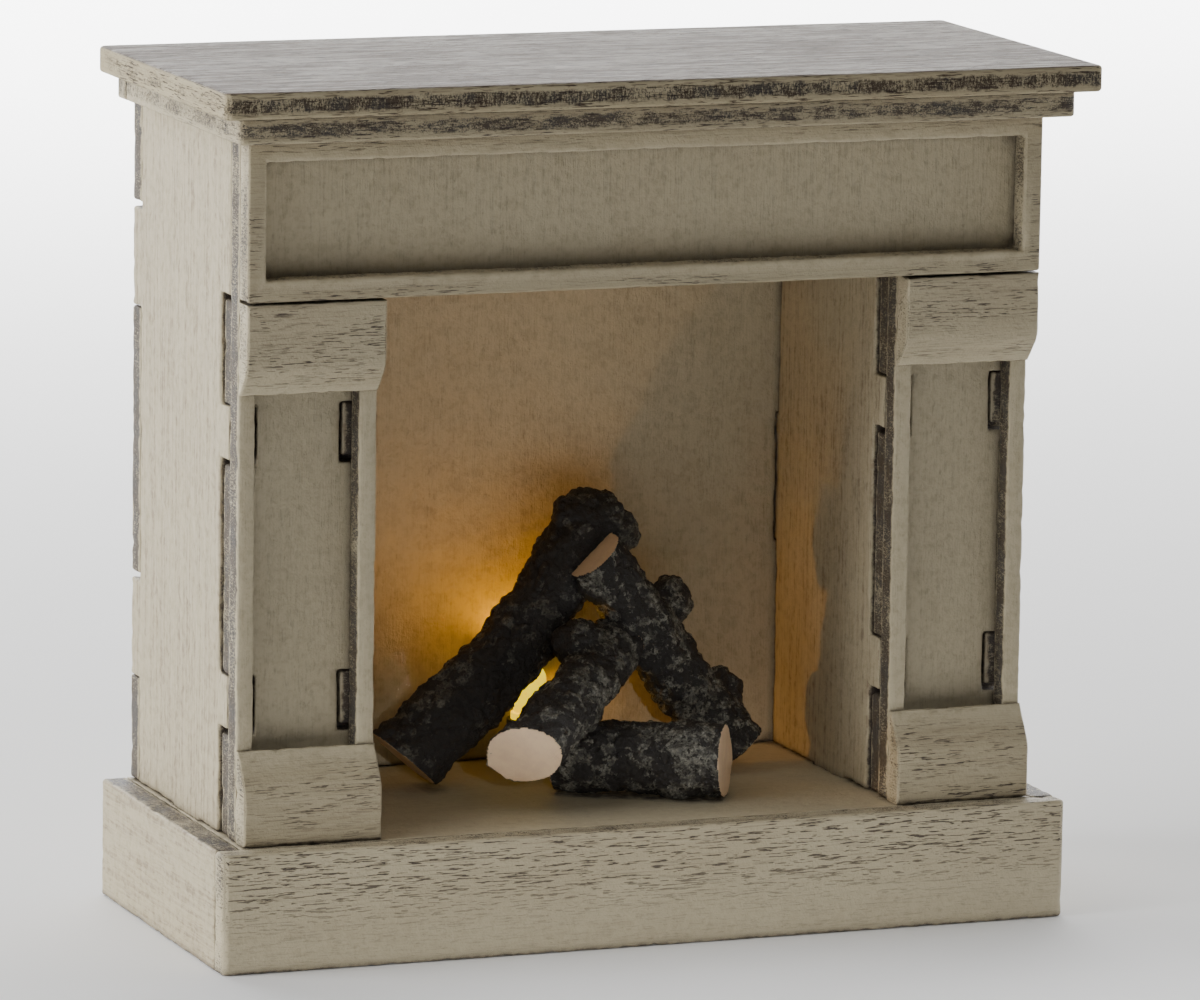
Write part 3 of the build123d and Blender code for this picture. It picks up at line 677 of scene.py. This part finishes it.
def plastic(name, colour):
    """Moulded plastic with a fine grain."""
    graph = Graph(name)
    grain = graph.noise(graph.millimetres(), 6.0, 3.0, 0.6)
    tone = graph.mix(graph.steps(grain, 0.3, 0.7), colour, shaded(colour, 1.4))
    graph.set(Base_Color=tone, Roughness=graph.steps(grain, 0.3, 0.7, 0.42, 0.6))
    graph.bump(grain, 0.02 * MM)
    return graph.material


def metal(name, colour, axis):
    """Metal brushed along one axis."""
    graph = Graph(name)
    brush = graph.noise(graph.millimetres(), along(axis, 0.5, 14.0), 3.0, 0.6)
    tone = graph.mix(graph.steps(brush, 0.3, 0.7), colour, shaded(colour, 0.8))
    graph.set(Base_Color=tone, Metallic=1.0, Roughness=graph.steps(brush, 0.3, 0.7, 0.22, 0.4))
    graph.bump(brush, 0.01 * MM)
    return graph.material


def small_parts():
    """Gives the CAD nodes that stay as they are their plastic and metal."""
    for material, names in (
        (plastic("black_plastic", BLACK), ("lamp_holder", "battery_box", "battery_tray", "switch_knob")),
        (metal("tinned_steel", STEEL, X),
         ("lamp_legs", "coin_cell", "battery_box_screws", "switch_housing", "switch_terminals")),
        (metal("contact_brass", BRASS, Y), ("positive_contact", "negative_contact")),
        (plastic("red_insulation", WIRE_RED), ("red_wire",)),
        (plastic("black_insulation", WIRE_BLACK), ("black_battery_wire", "black_lamp_wire")),
        (lit_lens(), ("lamp_lens",)),
    ):
        for name in names:
            paint_node(name, material)


# ---- Stage, light and camera ----
def add_floor():
    """A plain pale floor under the part."""
    reach = FLOOR_REACH
    mesh = bpy.data.meshes.new("floor")
    corners = [(-reach, -reach, 0), (reach, -reach, 0), (reach, reach, 0), (-reach, reach, 0)]
    mesh.from_pydata(corners, [], [(0, 1, 2, 3)])
    graph = Graph("pale_floor")
    speck = graph.noise(graph.millimetres(), 0.02)
    graph.set(Base_Color=graph.mix(speck, FLOOR, FLOOR_PALE), Roughness=0.9)
    mesh.materials.append(graph.material)
    piece = bpy.data.objects.new("floor", mesh)
    bpy.context.scene.collection.objects.link(piece)


def add_light(name, kind, place, aim, power, colour=WHITE):
    """A light that points from one place at another."""
    data = bpy.data.lights.new(name, kind)
    data.energy = power
    data.color = colour
    light = bpy.data.objects.new(name, data)
    light.location = place
    light.rotation_euler = (Vector(aim) - Vector(place)).to_track_quat("-Z", "Y").to_euler()
    bpy.context.scene.collection.objects.link(light)
    return data


def add_softbox(name, place, aim, size, power):
    data = add_light(name, "AREA", place, aim, power)
    data.shape = "RECTANGLE"
    data.size, data.size_y = size
    return data


def add_spot(name, place, aim, cone, power, colour=WHITE):
    data = add_light(name, "SPOT", place, aim, power, colour)
    data.spot_size = cone
    data.spot_blend = SPOT_BLEND
    return data


def world_light():
    """Weak white surroundings that show as a pale background."""
    world = bpy.data.worlds.new("studio")
    bpy.context.scene.world = world
    world.use_nodes = True
    nodes = world.node_tree.nodes
    background = nodes["Background"]
    background.inputs["Color"].default_value = (*WHITE, 1.0)
    seen = nodes.new("ShaderNodeLightPath").outputs["Is Camera Ray"]
    strength = nodes.new("ShaderNodeMapRange")
    strength.inputs["To Min"].default_value = WORLD_LIGHT
    strength.inputs["To Max"].default_value = WORLD_SEEN
    world.node_tree.links.new(seen, strength.inputs["Value"])
    world.node_tree.links.new(strength.outputs["Result"], background.inputs["Strength"])


def studio():
    """Soft light from all sides, on the part, the floor and the backdrop."""
    world_light()
    for name, (place, size, power) in SOFTBOXES.items():
        add_softbox(name, place, SOFTBOX_AIM, size, power)
    for name, (place, aim, cone, power) in SPOTS.items():
        add_spot(name, place, aim, cone, power)
    wash = add_softbox("backdrop_wash", WASH_PLACE, WASH_AIM, WASH_SIZE, WASH_POWER)
    wash.specular_factor = 0.0


def even_falloff(data):
    """Makes a light as strong far away as it is close by."""
    data.use_nodes = True
    tree = data.node_tree
    falloff = tree.nodes.new("ShaderNodeLightFalloff")
    falloff.inputs["Strength"].default_value = 1.0
    tree.links.new(falloff.outputs["Constant"], tree.nodes["Emission"].inputs["Strength"])


def lamp_glow():
    """The lamp's amber light: round its dome, up the back wall, on the right cheek, and low down."""
    low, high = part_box("lamp_lens")
    dome = Vector(((low.x + high.x) / 2, (low.y + high.y) / 2, high.z))
    cheek = Vector((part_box("cheek_right")[0].x, *CHEEK_AIM))
    near, beam, under = (dome + shift for shift in (GLOW_SHIFT, BEAM_SHIFT, LOW_SHIFT))
    for name, place, aim, cone, power, even in (
        ("lamp_glow", near, dome + UP, radians(160), 0.009, False),
        ("back_beam", beam, beam + BEAM_WAY, radians(172), 17.0, True),
        ("cheek_beam", near, cheek, radians(104), 6.5, True),
        ("low_glow", under, under + LOW_WAY, radians(130), 0.003, False),
    ):
        data = add_spot(name, place, aim, cone, power, AMBER)
        data.shadow_soft_size = LAMP_RADIUS
        if even:
            even_falloff(data)


def add_camera():
    """Looks along the yaw and pitch, rolled about the line of sight."""
    forward = Vector((sin(CAMERA_YAW) * cos(CAMERA_PITCH), cos(CAMERA_YAW) * cos(CAMERA_PITCH),
                      -sin(CAMERA_PITCH)))
    level = Vector((cos(CAMERA_YAW), -sin(CAMERA_YAW), 0.0))
    upright = level.cross(forward)
    right = level * cos(CAMERA_ROLL) + upright * sin(CAMERA_ROLL)
    up = upright * cos(CAMERA_ROLL) - level * sin(CAMERA_ROLL)
    data = bpy.data.cameras.new("camera")
    data.lens = CAMERA_LENS
    data.clip_end = CAMERA_REACH
    piece = bpy.data.objects.new("camera", data)
    turn = Matrix((right, up, -forward)).transposed().to_4x4()
    piece.matrix_world = Matrix.Translation(CAMERA_PLACE) @ turn
    bpy.context.scene.collection.objects.link(piece)
    bpy.context.scene.camera = piece


add_camera()
studio()
lamp_glow()
add_floor()
for number, board_name in enumerate(BOARDS):
    add_board(board_name, number)
for number, log_name in enumerate(LOGS):
    add_log(log_name, number)
small_parts()
